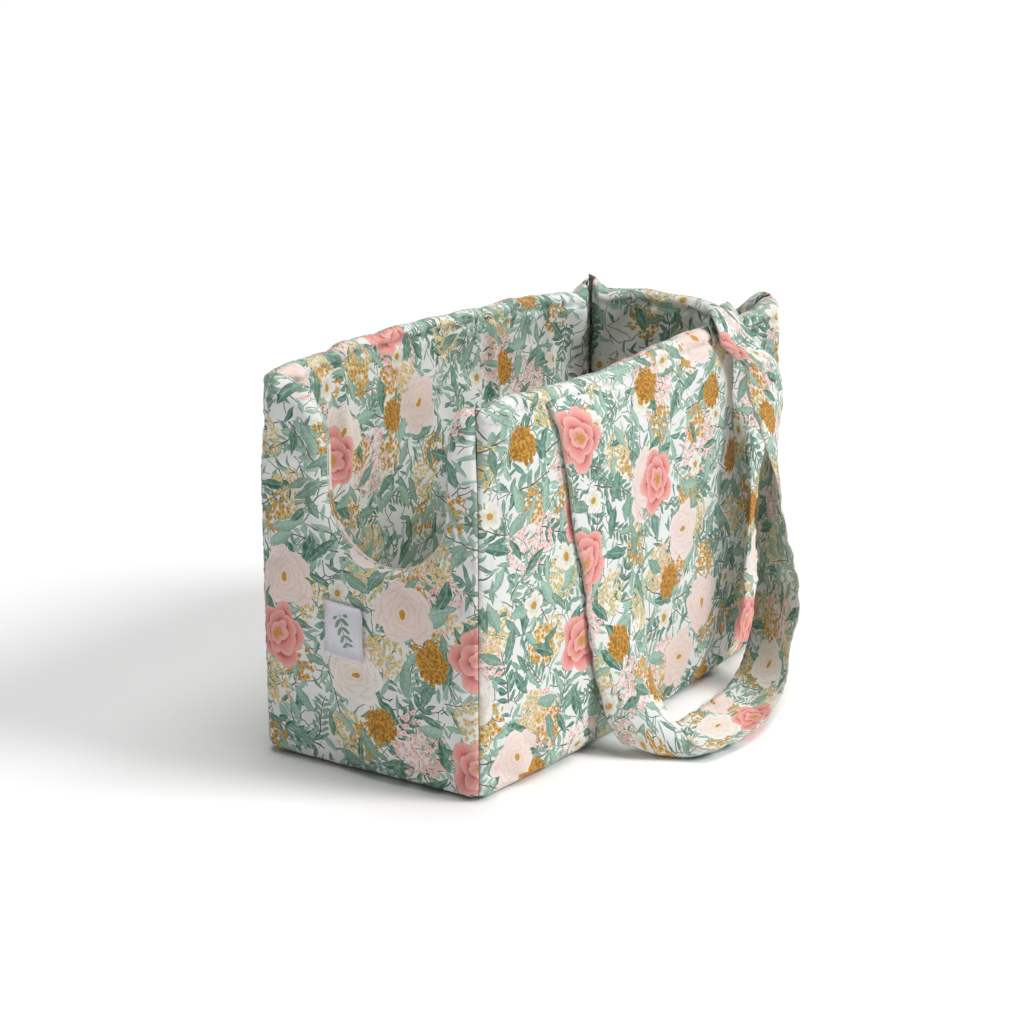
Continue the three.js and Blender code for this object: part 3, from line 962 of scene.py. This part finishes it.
def settle(piece, fixed, push, cap, frames):
    """Lets the panel's cloth, cut a little large, puff out and wrinkle between its seams."""
    rest = np.zeros(len(piece.data.vertices) * 3)
    piece.data.vertices.foreach_get("co", rest)
    rest = rest.reshape(-1, 3)
    held = piece.vertex_groups.new(name="held")
    for i, weight in enumerate(fixed):
        if weight > 0.02:
            held.add([i], float(min(1.0, weight)), "REPLACE")
    modifier = piece.modifiers.new("settle", "CLOTH")
    cloth = modifier.settings
    cloth.quality = 5
    cloth.mass = 0.12
    cloth.tension_stiffness = cloth.compression_stiffness = 12.0
    cloth.shear_stiffness = 6.0
    cloth.bending_stiffness = 0.12
    cloth.air_damping = 2.0
    cloth.vertex_group_mass = "held"
    cloth.shrink_min = -0.022
    cloth.use_pressure = True
    cloth.uniform_pressure_force = push
    cloth.effector_weights.gravity = 0.0
    modifier.collision_settings.use_collision = False
    modifier.point_cache.frame_start, modifier.point_cache.frame_end = 1, frames
    for number in range(1, frames + 1):
        bpy.context.scene.frame_set(number)
    graph = bpy.context.evaluated_depsgraph_get()
    result = piece.evaluated_get(graph).data
    moved = np.zeros(len(result.vertices) * 3)
    result.vertices.foreach_get("co", moved)
    step = moved.reshape(-1, 3) - rest
    size = np.linalg.norm(step, axis=1)
    step *= (np.tanh(size / cap) * cap / np.maximum(size, 1e-9))[:, None]
    step *= (1 - np.clip(fixed, 0, 1) ** 2)[:, None]
    piece.modifiers.clear()
    piece.vertex_groups.clear()
    bpy.context.scene.frame_set(1)
    piece.data.vertices.foreach_set("co", (rest + step).ravel())
    piece.data.update()


for wall in WALLS:
    for lining in (False, True):
        points, faces, uv, wear, fixed = wall.cloth(lining)
        hint = np.array(OUTWARD[wall.name]) * (-1 if lining else 1)
        faces = oriented(points, faces, hint)
        name = f"lining_{wall.name}" if lining else f"outer_{wall.name}_panel"
        shift = np.array(UV_SHIFT[wall.name]) + (0.71 if lining else 0.0)
        piece = make_object(
            name + "_cloth", points, faces, uv + shift, OUTER_COTTON, wear=wear,
            replaces=(name,),
        )
        settle(piece, fixed, SIM_PRESSURE, SIM_MOST_MOVED, SIM_FRAMES)
        pieces[name] = thicken(piece)


# ---------------------------------------------------------------- the base
def footprint(inset, round_corner, step):
    """The base's outline in plan, this far in, with rounded corners."""
    line = []
    for sx, sy in ((-1, -1), (1, -1), (1, 1), (-1, 1)):
        cx, cy = sx * (HALF_LENGTH - inset - round_corner), sy * (HALF_WIDTH - inset - round_corner)
        start = {(-1, -1): math.pi, (1, -1): -math.pi / 2, (1, 1): 0.0, (-1, 1): math.pi / 2}[sx, sy]
        for t in np.linspace(start, start + math.pi / 2, 5):
            line.append((cx + round_corner * math.cos(t), cy + round_corner * math.sin(t)))
    line = spaced(line + [line[0]], step)[:-1]
    bow = SIDE_BOW * (1 - (line[:, 0] / HALF_LENGTH) ** 2)
    line[:, 1] += np.sign(line[:, 1]) * bow * smooth((np.abs(line[:, 1]) / HALF_WIDTH - 0.5) / 0.4)
    return line


def base_cloth(name, inset, level, edge_level, crown, seed, down):
    line = footprint(inset, 0.003, MESH_STEP)
    fill = []
    for d in (0.0012, 0.0028, 0.005, 0.008):
        fill += [tuple(p) for p in footprint(inset + d, 0.003, MESH_STEP)]
    for i, x in enumerate(np.arange(-HALF_LENGTH, HALF_LENGTH, MESH_STEP * 1.3)):
        for y in np.arange(-HALF_WIDTH - SIDE_BOW, HALF_WIDTH + SIDE_BOW, MESH_STEP * 1.3):
            fill.append((x, y + (i % 2) * MESH_STEP * 0.65))
    fill = np.array(fill)
    gap, _ = distance_to(fill, closed(line))
    fill = fill[Wall.inside(fill, line) & (gap > 0.0008)]
    flat, faces = triangulated([tuple(p) for p in line], thin_out([tuple(p) for p in fill], 0.0011))
    d, _ = distance_to(flat, closed(line))
    rise = edge_level - level
    z = level + rise * np.exp(-((d / 0.004) ** 2)) + crown * smooth(d / 0.05)
    z += 0.0004 * smooth(d / 0.02) * ripple(flat, 0.04, int(seed * 10))
    if down:
        z = np.maximum(z, FLOOR_CLEARANCE)
    points = np.column_stack([flat, z])
    faces = oriented(points, faces, (0, 0, -1 if down else 1))
    piece = make_object(
        name + "_cloth", points, faces, flat + seed, OUTER_COTTON,
        replaces=(name,), wear=np.exp(-d / 0.006),
    )
    return thicken(piece, CLOTH * 0.8)


pieces["outer_base_panel"] = base_cloth(
    "outer_base_panel", BASE_ROLL + 0.0012, 0.0005, 0.0018, 0.0, 4.4, True
)
pieces["lining_base"] = base_cloth(
    "lining_base", WALL - 0.0006, 0.0150, 0.0136, 0.0028, 5.6, False
)


# ---------------------------------------------------------------- the straps
# Both edges of a strap's loop: down the side, a quarter twist, along the floor, and up again with
# the twist taken out. Millimetres. The route follows the CAD's closely, but not point for point.
LOOP_REAR_EDGE = [
    (-120, -95.5, 178), (-107, -97.5, 124), (-98, -100, 80), (-92, -103, 48), (-88, -109, 22),
    (-82, -121, 7), (-54, -123, 3.5), (-24, -121, 3.5), (14, -122, 4), (54, -120, 6),
    (86, -115, 12), (110, -108.5, 23), (125, -104, 40), (133, -102, 58), (134, -101, 76),
    (131, -100, 102), (134, -100, 128), (140, -102, 152), (146, -107, 174), (145, -110, 196),
]
LOOP_FRONT_EDGE = [
    (-52, -99, 188), (-38, -100.5, 136), (-34, -102.5, 94), (-38, -108, 62), (-50, -122, 36),
    (-63, -148, 18), (-68, -164, 10.5), (-50, -172, 7.5), (-10, -176, 8), (36, -169, 13),
    (59, -163, 21), (73, -158, 34), (86, -157, 54), (92, -154, 72), (89, -151, 92),
    (86, -145, 117), (87, -139, 141), (88, -129, 167), (89, -120, 190), (89, -112, 210),
]
# The rear end of the near strap stands up past the rim and folds over, outwards
ARCH_REAR_EDGE = [
    (140, -109, 213), (132, -101, 226), (128, -95, 235), (126, -87, 247), (124, -77.5, 259.5),
    (126, -73.5, 252.5), (129, -74.5, 246.5), (131, -76.2, 241.5), (132, -75, 235.5),
]
ARCH_FRONT_EDGE = [
    (89, -108, 225), (75, -103.5, 236), (68, -101.5, 244), (66.5, -99, 254), (67, -93.5, 263),
    (66.5, -91.8, 257.5), (66.3, -95, 250), (66, -96.3, 244), (66, -94.6, 237),
]
STRAP_SEAM_Z = 0.2375
STRAP_UV_SHIFT = {"left": 6.13, "right": 7.94}


def strap_edge(loop, seam_x, arch):
    """One long edge of a whole strap: out of the rim's seam, round the loop and in again."""
    x_start, x_end = -seam_x, seam_x
    y_start, y_end = -float(half_width(x_start)), -float(half_width(x_end))
    start = [
        (x_start, y_start + 0.0012, STRAP_SEAM_Z + 0.003), (x_start, y_start - 0.0006, STRAP_SEAM_Z),
        (x_start + 0.001, y_start - 0.0024, STRAP_SEAM_Z - 0.006),
    ]
    straight = [
        (x_end + 0.002, y_end - 0.0075, STRAP_SEAM_Z - 0.017), (x_end, y_end - 0.0026, STRAP_SEAM_Z - 0.006),
        (x_end, y_end - 0.0006, STRAP_SEAM_Z), (x_end, y_end + 0.0012, STRAP_SEAM_Z + 0.003),
    ]
    end = [(x / 1000, y / 1000, z / 1000) for x, y, z in arch] if arch else straight
    middle = [(x / 1000, y / 1000, z / 1000) for x, y, z in loop]
    return np.array(start + middle + end)


def smooth_curve(points, knots, samples):
    """A smooth curve through the points, which it reaches at the knots."""
    slopes = np.gradient(points, knots, axis=0)
    at = np.linspace(0, knots[-1], samples)
    span = np.clip(np.searchsorted(knots, at, side="right") - 1, 0, len(points) - 2)
    h = (knots[span + 1] - knots[span])[:, None]
    t = ((at - knots[span])[:, None]) / h
    a, b = points[span], points[span + 1]
    slope_a, slope_b = slopes[span] * h, slopes[span + 1] * h
    t2, t3 = t * t, t * t * t
    start = (2 * t3 - 3 * t2 + 1) * a + (t3 - 2 * t2 + t) * slope_a
    return start + (-2 * t3 + 3 * t2) * b + (t3 - t2) * slope_b


def even_rows(edge_a, edge_b, step):
    """The two edges resampled so that rows are evenly spaced along the middle."""
    gaps = np.linalg.norm(np.diff((edge_a + edge_b) / 2, axis=0), axis=1) ** 0.5
    knots = np.concatenate([[0], np.cumsum(gaps)])
    a, b = smooth_curve(edge_a, knots, 1200), smooth_curve(edge_b, knots, 1200)
    middle = (a + b) / 2
    length = lengths_along(middle)
    at = np.linspace(0, length[-1], int(length[-1] / step))
    return along_line(at, length, a), along_line(at, length, b), at


def surface_of(piece):
    points = [v.co.copy() for v in piece.data.vertices]
    return BVHTree.FromPolygons(points, [tuple(f.vertices) for f in piece.data.polygons])


def eased(field, reach=2):
    """The field widened and then smoothed over the same reach, so it is nowhere less than it was."""
    for combine in (np.max, np.mean):
        for axis in (0, 1):
            edges = [(reach, reach) if k == axis else (0, 0) for k in (0, 1)]
            padded = np.pad(field, edges, mode="edge")
            size = field.shape[axis]
            windows = [np.take(padded, range(k, k + size), axis=axis) for k in range(2 * reach + 1)]
            field = combine(windows, axis=0)
    return field


WALL_GAP = 0.0003  # between the wall's cloth and a strap that lies on it
FREE_OF_SEAM_Z, INTO_SEAM_Z = 0.224, 0.234


def clear_of_wall(wall_surface, middle, thick, sign):
    """How far outwards each point of a strap moves, to lie on the settled wall and not in it."""
    needed = np.zeros(middle.shape[:2])
    for i, k in np.ndindex(needed.shape):
        x, y, z = middle[i, k]
        hit = wall_surface.ray_cast(Vector((x, -OUTSIDE_Y * sign, z)), Vector((0, sign, 0)), OUTSIDE_Y)[0]
        if hit is not None and y < 0:
            needed[i, k] = max(0.0, y - (hit.y * sign - thick[k] - WALL_GAP))
    free = smooth((INTO_SEAM_Z - middle[:, :, 2]) / (INTO_SEAM_Z - FREE_OF_SEAM_Z))
    return eased(needed * (middle[:, :, 2] < INTO_SEAM_Z)) * free


def make_strap(side, sign):
    """A whole strap, made on the left and mirrored for the right, then laid on its wall."""
    arched = side == "left"
    rear = strap_edge(LOOP_REAR_EDGE, STRAP_OUTER_X, ARCH_REAR_EDGE if arched else None)
    front = strap_edge(LOOP_FRONT_EDGE, STRAP_INNER_X, ARCH_FRONT_EDGE if arched else None)
    a, b, along = even_rows(rear, front, STRAP_ROW)
    middle = (a + b) / 2
    forward = np.gradient(middle, axis=0)
    forward /= np.linalg.norm(forward, axis=1)[:, None]
    across = b - a
    chord = np.linalg.norm(across, axis=1)
    up = np.cross(forward, across)
    up /= np.linalg.norm(up, axis=1)[:, None]
    total = along[-1]
    slack = np.clip(STRAP_WIDTH - chord, 0, 0.02)
    bow = np.sqrt(0.375 * chord * slack) * 0.42
    columns = STRAP_COLUMNS
    shares = np.linspace(-1, 1, columns)
    thick = STRAP_THICK * (0.34 + 0.66 * (1 - shares**8) ** 0.5) / 2
    thick *= 1 - 0.30 * np.exp(-(((1 - np.abs(shares)) * STRAP_WIDTH / 2 - 0.004) / 0.0014) ** 2)
    middle = np.zeros((len(along), columns, 3))
    for i, t in enumerate(along):
        loose = smooth((t - 0.01) / 0.05) * smooth((total - 0.02 - t) / 0.04)
        for k, s in enumerate(shares):
            crease = loose * 0.0007 * math.sin(t * 190 + 2.2 * s + 4 * math.sin(t * 37 + sign))
            crease += loose * 0.0003 * math.sin(t * 690 + 4.1 * s * s + 3 * math.sin(t * 91))
            lift = bow[i] * (1 - s * s) * loose + crease * (0.35 + 0.65 * s * s)
            middle[i, k] = (a[i] * (1 - s) + b[i] * (1 + s)) / 2 + up[i] * lift
    middle[:, :, 2] = np.maximum(middle[:, :, 2], thick + STRAP_REST)
    wall_surface = surface_of(pieces[f"outer_{side}_side_panel"])
    middle[:, :, 1] -= clear_of_wall(wall_surface, middle, thick, sign)
    points, uv, wear = [], [], []
    for i, t in enumerate(along):
        for face in (1, -1):
            for k in range(columns)[::face]:
                s = shares[k]
                points.append(middle[i, k] + up[i] * face * thick[k])
                uv.append((t, s * face * STRAP_WIDTH / 2 + (0.0 if face == 1 else STRAP_UV_PERIOD)))
                wear.append(math.exp(-(1 - abs(s)) * STRAP_WIDTH / 2 / 0.003))
    points = np.array(points)
    points[:, 2] = np.maximum(points[:, 2], STRAP_REST)
    ring = 2 * columns
    faces = []
    for i in range(len(along) - 1):
        for k in range(ring):
            j = (k + 1) % ring
            faces.append((i * ring + k, i * ring + j, (i + 1) * ring + j, (i + 1) * ring + k))
    last = (len(along) - 1) * ring
    for k in range(columns - 1):
        faces.append((k, ring - 1 - k, ring - 2 - k, k + 1))
        faces.append((last + k, last + k + 1, last + ring - 2 - k, last + ring - 1 - k))
    points[:, 1] *= sign
    if sign < 0:
        faces = [tuple(reversed(f)) for f in faces]
    nodes = [f"strap_{side}_loop", f"strap_{side}_front_end", f"strap_{side}_rear_end"]
    piece = make_object(
        f"strap_{side}", points, faces, np.array(uv) + (STRAP_UV_SHIFT[side], 6.0), STRAP_COTTON,
        replaces=nodes, wear=np.array(wear),
    )
    fix_normals(piece)
    return piece


def fix_normals(piece):
    mesh = bmesh.new()
    mesh.from_mesh(piece.data)
    bmesh.ops.recalc_face_normals(mesh, faces=mesh.faces)
    mesh.to_mesh(piece.data)
    mesh.free()


straps = {}
for side, sign in (("left", 1), ("right", -1)):
    straps[side] = make_strap(side, sign)


# ---------------------------------------------------------------- batting inside the walls
def slab(node, points_of, outline, low, high):
    """A soft slab of batting with rounded edges, inside the cloth. Never seen from outside."""
    poly = np.array(outline)
    border = closed(poly)
    step = 0.0080
    fill = np.array([(u, v) for u in np.arange(poly[:, 0].min(), poly[:, 0].max(), step)
                     for v in np.arange(poly[:, 1].min(), poly[:, 1].max(), step)])
    gap, _ = distance_to(fill, border)
    fill = fill[Wall.inside(fill, poly) & (gap > step * 0.45)]
    flat, faces = triangulated([tuple(p) for p in poly], [tuple(p) for p in fill])
    gap, _ = distance_to(flat, border)
    half = (high - low) / 2
    swell = half * np.sqrt(np.clip(1 - np.clip(1 - gap / (half * 1.4), 0, 1) ** 2, 0, 1))
    swell *= 1 - 0.05 * np.abs(ripple(flat, 0.05, len(node)))
    middle = (low + high) / 2
    near, far = points_of(flat, middle - swell), points_of(flat, middle + swell)
    edge = gap < 1e-6
    count = len(flat)
    far_index = np.where(edge, np.arange(count), np.arange(count) + count)
    all_points = np.vstack([near, far])
    all_faces = [tuple(f) for f in faces]
    all_faces += [tuple(int(far_index[i]) for i in reversed(f)) for f in faces]
    used = sorted({i for f in all_faces for i in f})
    place = {old: new for new, old in enumerate(used)}
    all_faces = [tuple(place[i] for i in f) for f in all_faces]
    piece = make_object(
        node + "_fill", all_points[used], all_faces, np.vstack([flat, flat + 0.5])[used], BATTING,
        replaces=(node,),
    )
    fix_normals(piece)
    return piece


BATTING_INSET = 0.0034
for wall in WALLS:
    half = wall.half - BATTING_INSET - WALL * 0.5
    low_z, high_z = LINING_FOOT_Z + 0.001, RIM_Z - BATTING_INSET - 0.002
    if wall.notched:
        notch = np.array(notch_line()[::-1])
        notch = notch + side_normals(notch) * BATTING_INSET
        notch = notch[notch[:, 1] < high_z]
        top = [(-half, high_z), *[tuple(p) for p in notch], (half, high_z)]
    else:
        top = [(-half, high_z), (half, high_z)]
    ring = spaced([(half, low_z), (-half, low_z), *top, (half, low_z)], 0.0075)[:-1]
    pieces[f"padding_{wall.name}"] = slab(
        f"padding_{wall.name}",
        lambda flat, inward, wall=wall: wall.place(flat[:, 0], inward, flat[:, 1]),
        ring[::-1], BATTING_INSET, WALL - BATTING_INSET,
    )
pieces["padding_base"] = slab(
    "padding_base", lambda flat, up: np.column_stack([flat, up]),
    footprint(0.0095, 0.006, 0.0075), 0.0024, 0.0132,
)


# ---------------------------------------------------------------- label and stitching
def stitch_row(name, line, normals, pitch):
    """A row of stitches: short arched lengths of thread, sunk into the cloth at both ends."""
    line, normals = np.asarray(line), np.asarray(normals)
    along = lengths_along(line)
    sides, rings = 6, 5
    points, faces, uv = [], [], []
    for k in range(int(along[-1] / pitch)):
        start = (k + 0.15) * pitch
        end = start + pitch * STITCH_SHARE
        normal = along_line((start + end) / 2, along, normals)
        normal /= np.linalg.norm(normal)
        a, b = along_line(start, along, line), along_line(end, along, line)
        forward = (b - a) / np.linalg.norm(b - a)
        side = np.cross(normal, forward)
        first = len(points)
        for j in range(rings + 2):
            t = j / (rings + 1)
            at = start + (end - start) * t
            rise = 1.5 * math.sin(math.pi * t) - 0.7
            centre = along_line(at, along, line) + normal * THREAD_RADIUS * rise
            if j in (0, rings + 1):
                points.append(centre)
                uv.append((at, 0.0))
                continue
            radius = THREAD_RADIUS * (1 - (2 * t - 1) ** 4) ** 0.5
            for i in range(sides):
                turn = 2 * math.pi * i / sides
                points.append(centre + (side * math.cos(turn) + normal * math.sin(turn)) * radius)
                uv.append((at, turn * THREAD_RADIUS))
        for i in range(sides):
            j = (i + 1) % sides
            faces.append((first, first + 1 + j, first + 1 + i))
            last = first + 1 + (rings - 1) * sides
            faces.append((first + 1 + rings * sides, last + i, last + j))
            for ring in range(rings - 1):
                low = first + 1 + ring * sides
                faces.append((low + i, low + j, low + sides + j, low + sides + i))
    piece = make_object(name + "_thread", points, faces, uv, THREAD, replaces=(name,))
    fix_normals(piece)
    return piece


for wall, sign in ((WALLS[0], -1), (WALLS[1], 1)):
    cloth_surface = surface_of(pieces[f"outer_{wall.name}_panel"])
    line, normals = [], []
    for a in np.linspace(-wall.half + 0.008, wall.half - 0.008, 260):
        z = RIM_Z - STITCH_LINE_DROP + float(wall.rim_lift(a, RIM_Z))
        spot, normal, _, _ = cloth_surface.ray_cast(Vector((a, sign * 0.2, z)), Vector((0, -sign, 0)))
        line.append(tuple(spot))
        normals.append(tuple(normal if normal.y * sign > 0 else -normal))
    name = f"rim_stitching_{wall.name}"
    pieces[name] = stitch_row(name, line, normals, RIM_STITCH_PITCH)


def label_point(u, v, front_x):
    """The label's u, v in metres from its middle, placed on the front at this depth."""
    y = LABEL_MIDDLE[0] - u * math.cos(LABEL_TILT) - v * math.sin(LABEL_TILT)
    z = LABEL_MIDDLE[1] - u * math.sin(LABEL_TILT) + v * math.cos(LABEL_TILT)
    return (front_x, y, z)


def make_label():
    front = surface_of(pieces["outer_front_panel"])
    across, up = np.linspace(-0.5, 0.5, 25), np.linspace(-0.5, 0.5, 27)
    depth = np.zeros((len(up), len(across)))
    for i, v in enumerate(up):
        for j, u in enumerate(across):
            _, y, z = label_point(u * LABEL_WIDTH, v * LABEL_HEIGHT, 0.0)
            spot, _, _, _ = front.ray_cast(Vector((-0.3, y, z)), Vector((1, 0, 0)))
            depth[i, j] = spot.x
    around = [np.roll(depth, (i, j), (0, 1)) for i in (-1, 0, 1) for j in (-1, 0, 1)]
    outermost = np.min(around, axis=0)
    outermost[[0, -1], :] = depth[[0, -1], :]
    outermost[:, [0, -1]] = depth[:, [0, -1]]
    points, uv, faces = [], [], []
    rows, columns = len(up), len(across)
    for i, v in enumerate(up):
        for j, u in enumerate(across):
            from_edge = 0.5 - abs(u)
            curl = 0.0022 * smooth((u - 0.40) / 0.10) * (1 + 0.8 * v)
            curl += 0.0008 * smooth((-u - 0.42) / 0.08)
            buckle = 0.0007 * math.sin(v * 9 + 1.3) * smooth(from_edge / 0.2)
            buckle += 0.0007 * smooth(from_edge / 0.15)
            curl += 0.0010 * smooth((abs(v) - 0.38) / 0.12)
            x = outermost[i, j] - LABEL_THICK - 0.0004 - curl - buckle
            narrowing = 1 - 0.03 * smooth((v - 0.3) / 0.2)
            points.append(label_point(u * LABEL_WIDTH * narrowing, v * LABEL_HEIGHT, x))
            uv.append((u * LABEL_WIDTH, v * LABEL_HEIGHT))
            if i and j:
                k = i * columns + j
                faces.append((k - columns - 1, k - 1, k, k - columns))
    faces = oriented(points, faces, (-1, 0, 0))
    piece = make_object("label_satin", points, faces, uv, SATIN, replaces=("label",))
    return thicken(piece, LABEL_THICK)


pieces["label"] = make_label()
label_surface = surface_of(pieces["label"])
for side, sign in (("left", -1), ("right", 1)):
    line, normals = [], []
    for v in np.linspace(-LABEL_HEIGHT / 2 + 0.0008, LABEL_HEIGHT / 2 - 0.0008, 40):
        _, y, z = label_point(sign * (LABEL_WIDTH / 2 - LABEL_STITCH_INSET), v, 0.0)
        spot, normal, _, _ = label_surface.ray_cast(Vector((-0.3, y, z)), Vector((1, 0, 0)))
        line.append(tuple(spot))
        normals.append(tuple(normal if normal.x < 0 else -normal))
    name = f"label_stitching_{side}"
    pieces[name] = stitch_row(name, line, normals, LABEL_STITCH_PITCH)


# ---------------------------------------------------------------- camera, floor and light
def stage_scene():
    scene = bpy.context.scene
    camera = bpy.data.objects.new("camera", bpy.data.cameras.new("camera"))
    scene.collection.objects.link(camera)
    target = Vector((-0.0337, 0.0, 0.1339))
    azimuth, elevation, distance = math.radians(32.77), math.radians(15.91), 1.5596
    back = Vector((
        -math.cos(azimuth) * math.cos(elevation),
        -math.sin(azimuth) * math.cos(elevation),
        math.sin(elevation),
    ))
    camera.location = target + back * distance
    camera.rotation_mode = "QUATERNION"
    camera.rotation_quaternion = (-back).to_track_quat("-Z", "Y")
    camera.data.sensor_width = 36.0
    camera.data.lens = 81.5168
    camera.data.clip_start, camera.data.clip_end = 0.05, 20.0
    scene.camera = camera

    mesh = bpy.data.meshes.new("floor")
    size = 16.0
    corners = [(-size, -size, 0), (size, -size, 0), (size, size, 0), (-size, size, 0)]
    mesh.from_pydata(corners, [], [(0, 1, 2, 3)])
    floor = bpy.data.objects.new("floor", mesh)
    scene.collection.objects.link(floor)
    ground = Cloth("studio_floor")
    spot = ground.tree.nodes.new("ShaderNodeTexCoord").outputs["Object"]
    grain = ground.noise(spot, 3.0, 2.0)
    paint = ground.mix(grain, srgb(250, 250, 250), srgb(253, 253, 253))
    ground.link(paint, ground.shader.inputs["Base Color"])
    ground.shader.inputs["Roughness"].default_value = 0.9
    ground.shader.inputs["Specular IOR Level"].default_value = 0.1
    mesh.materials.append(ground.material)

    def sun(name, direction, power, spread):
        light = bpy.data.objects.new(name, bpy.data.lights.new(name, "SUN"))
        light.data.energy, light.data.angle = power, math.radians(spread)
        light.rotation_mode = "QUATERNION"
        light.rotation_quaternion = Vector(direction).to_track_quat("Z", "Y")
        scene.collection.objects.link(light)

    sun("key", (0.30, -0.74, 0.60), 1.90, 22)
    sun("top", (0.10, -0.08, 0.99), 1.75, 46)
    world = bpy.data.worlds.new("studio")
    world.use_nodes = True
    world.node_tree.nodes["Background"].inputs["Color"].default_value = (1, 1, 1, 1)
    world.node_tree.nodes["Background"].inputs["Strength"].default_value = 0.17
    scene.world = world
    scene.view_settings.view_transform = "Standard"


stage_scene()

for piece in pieces.values():
    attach(piece, "bag")

# Nothing more is done to the walls; each strap's placing is baked into its mesh
for wall in WALLS:
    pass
for side, piece in straps.items():
    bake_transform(piece)
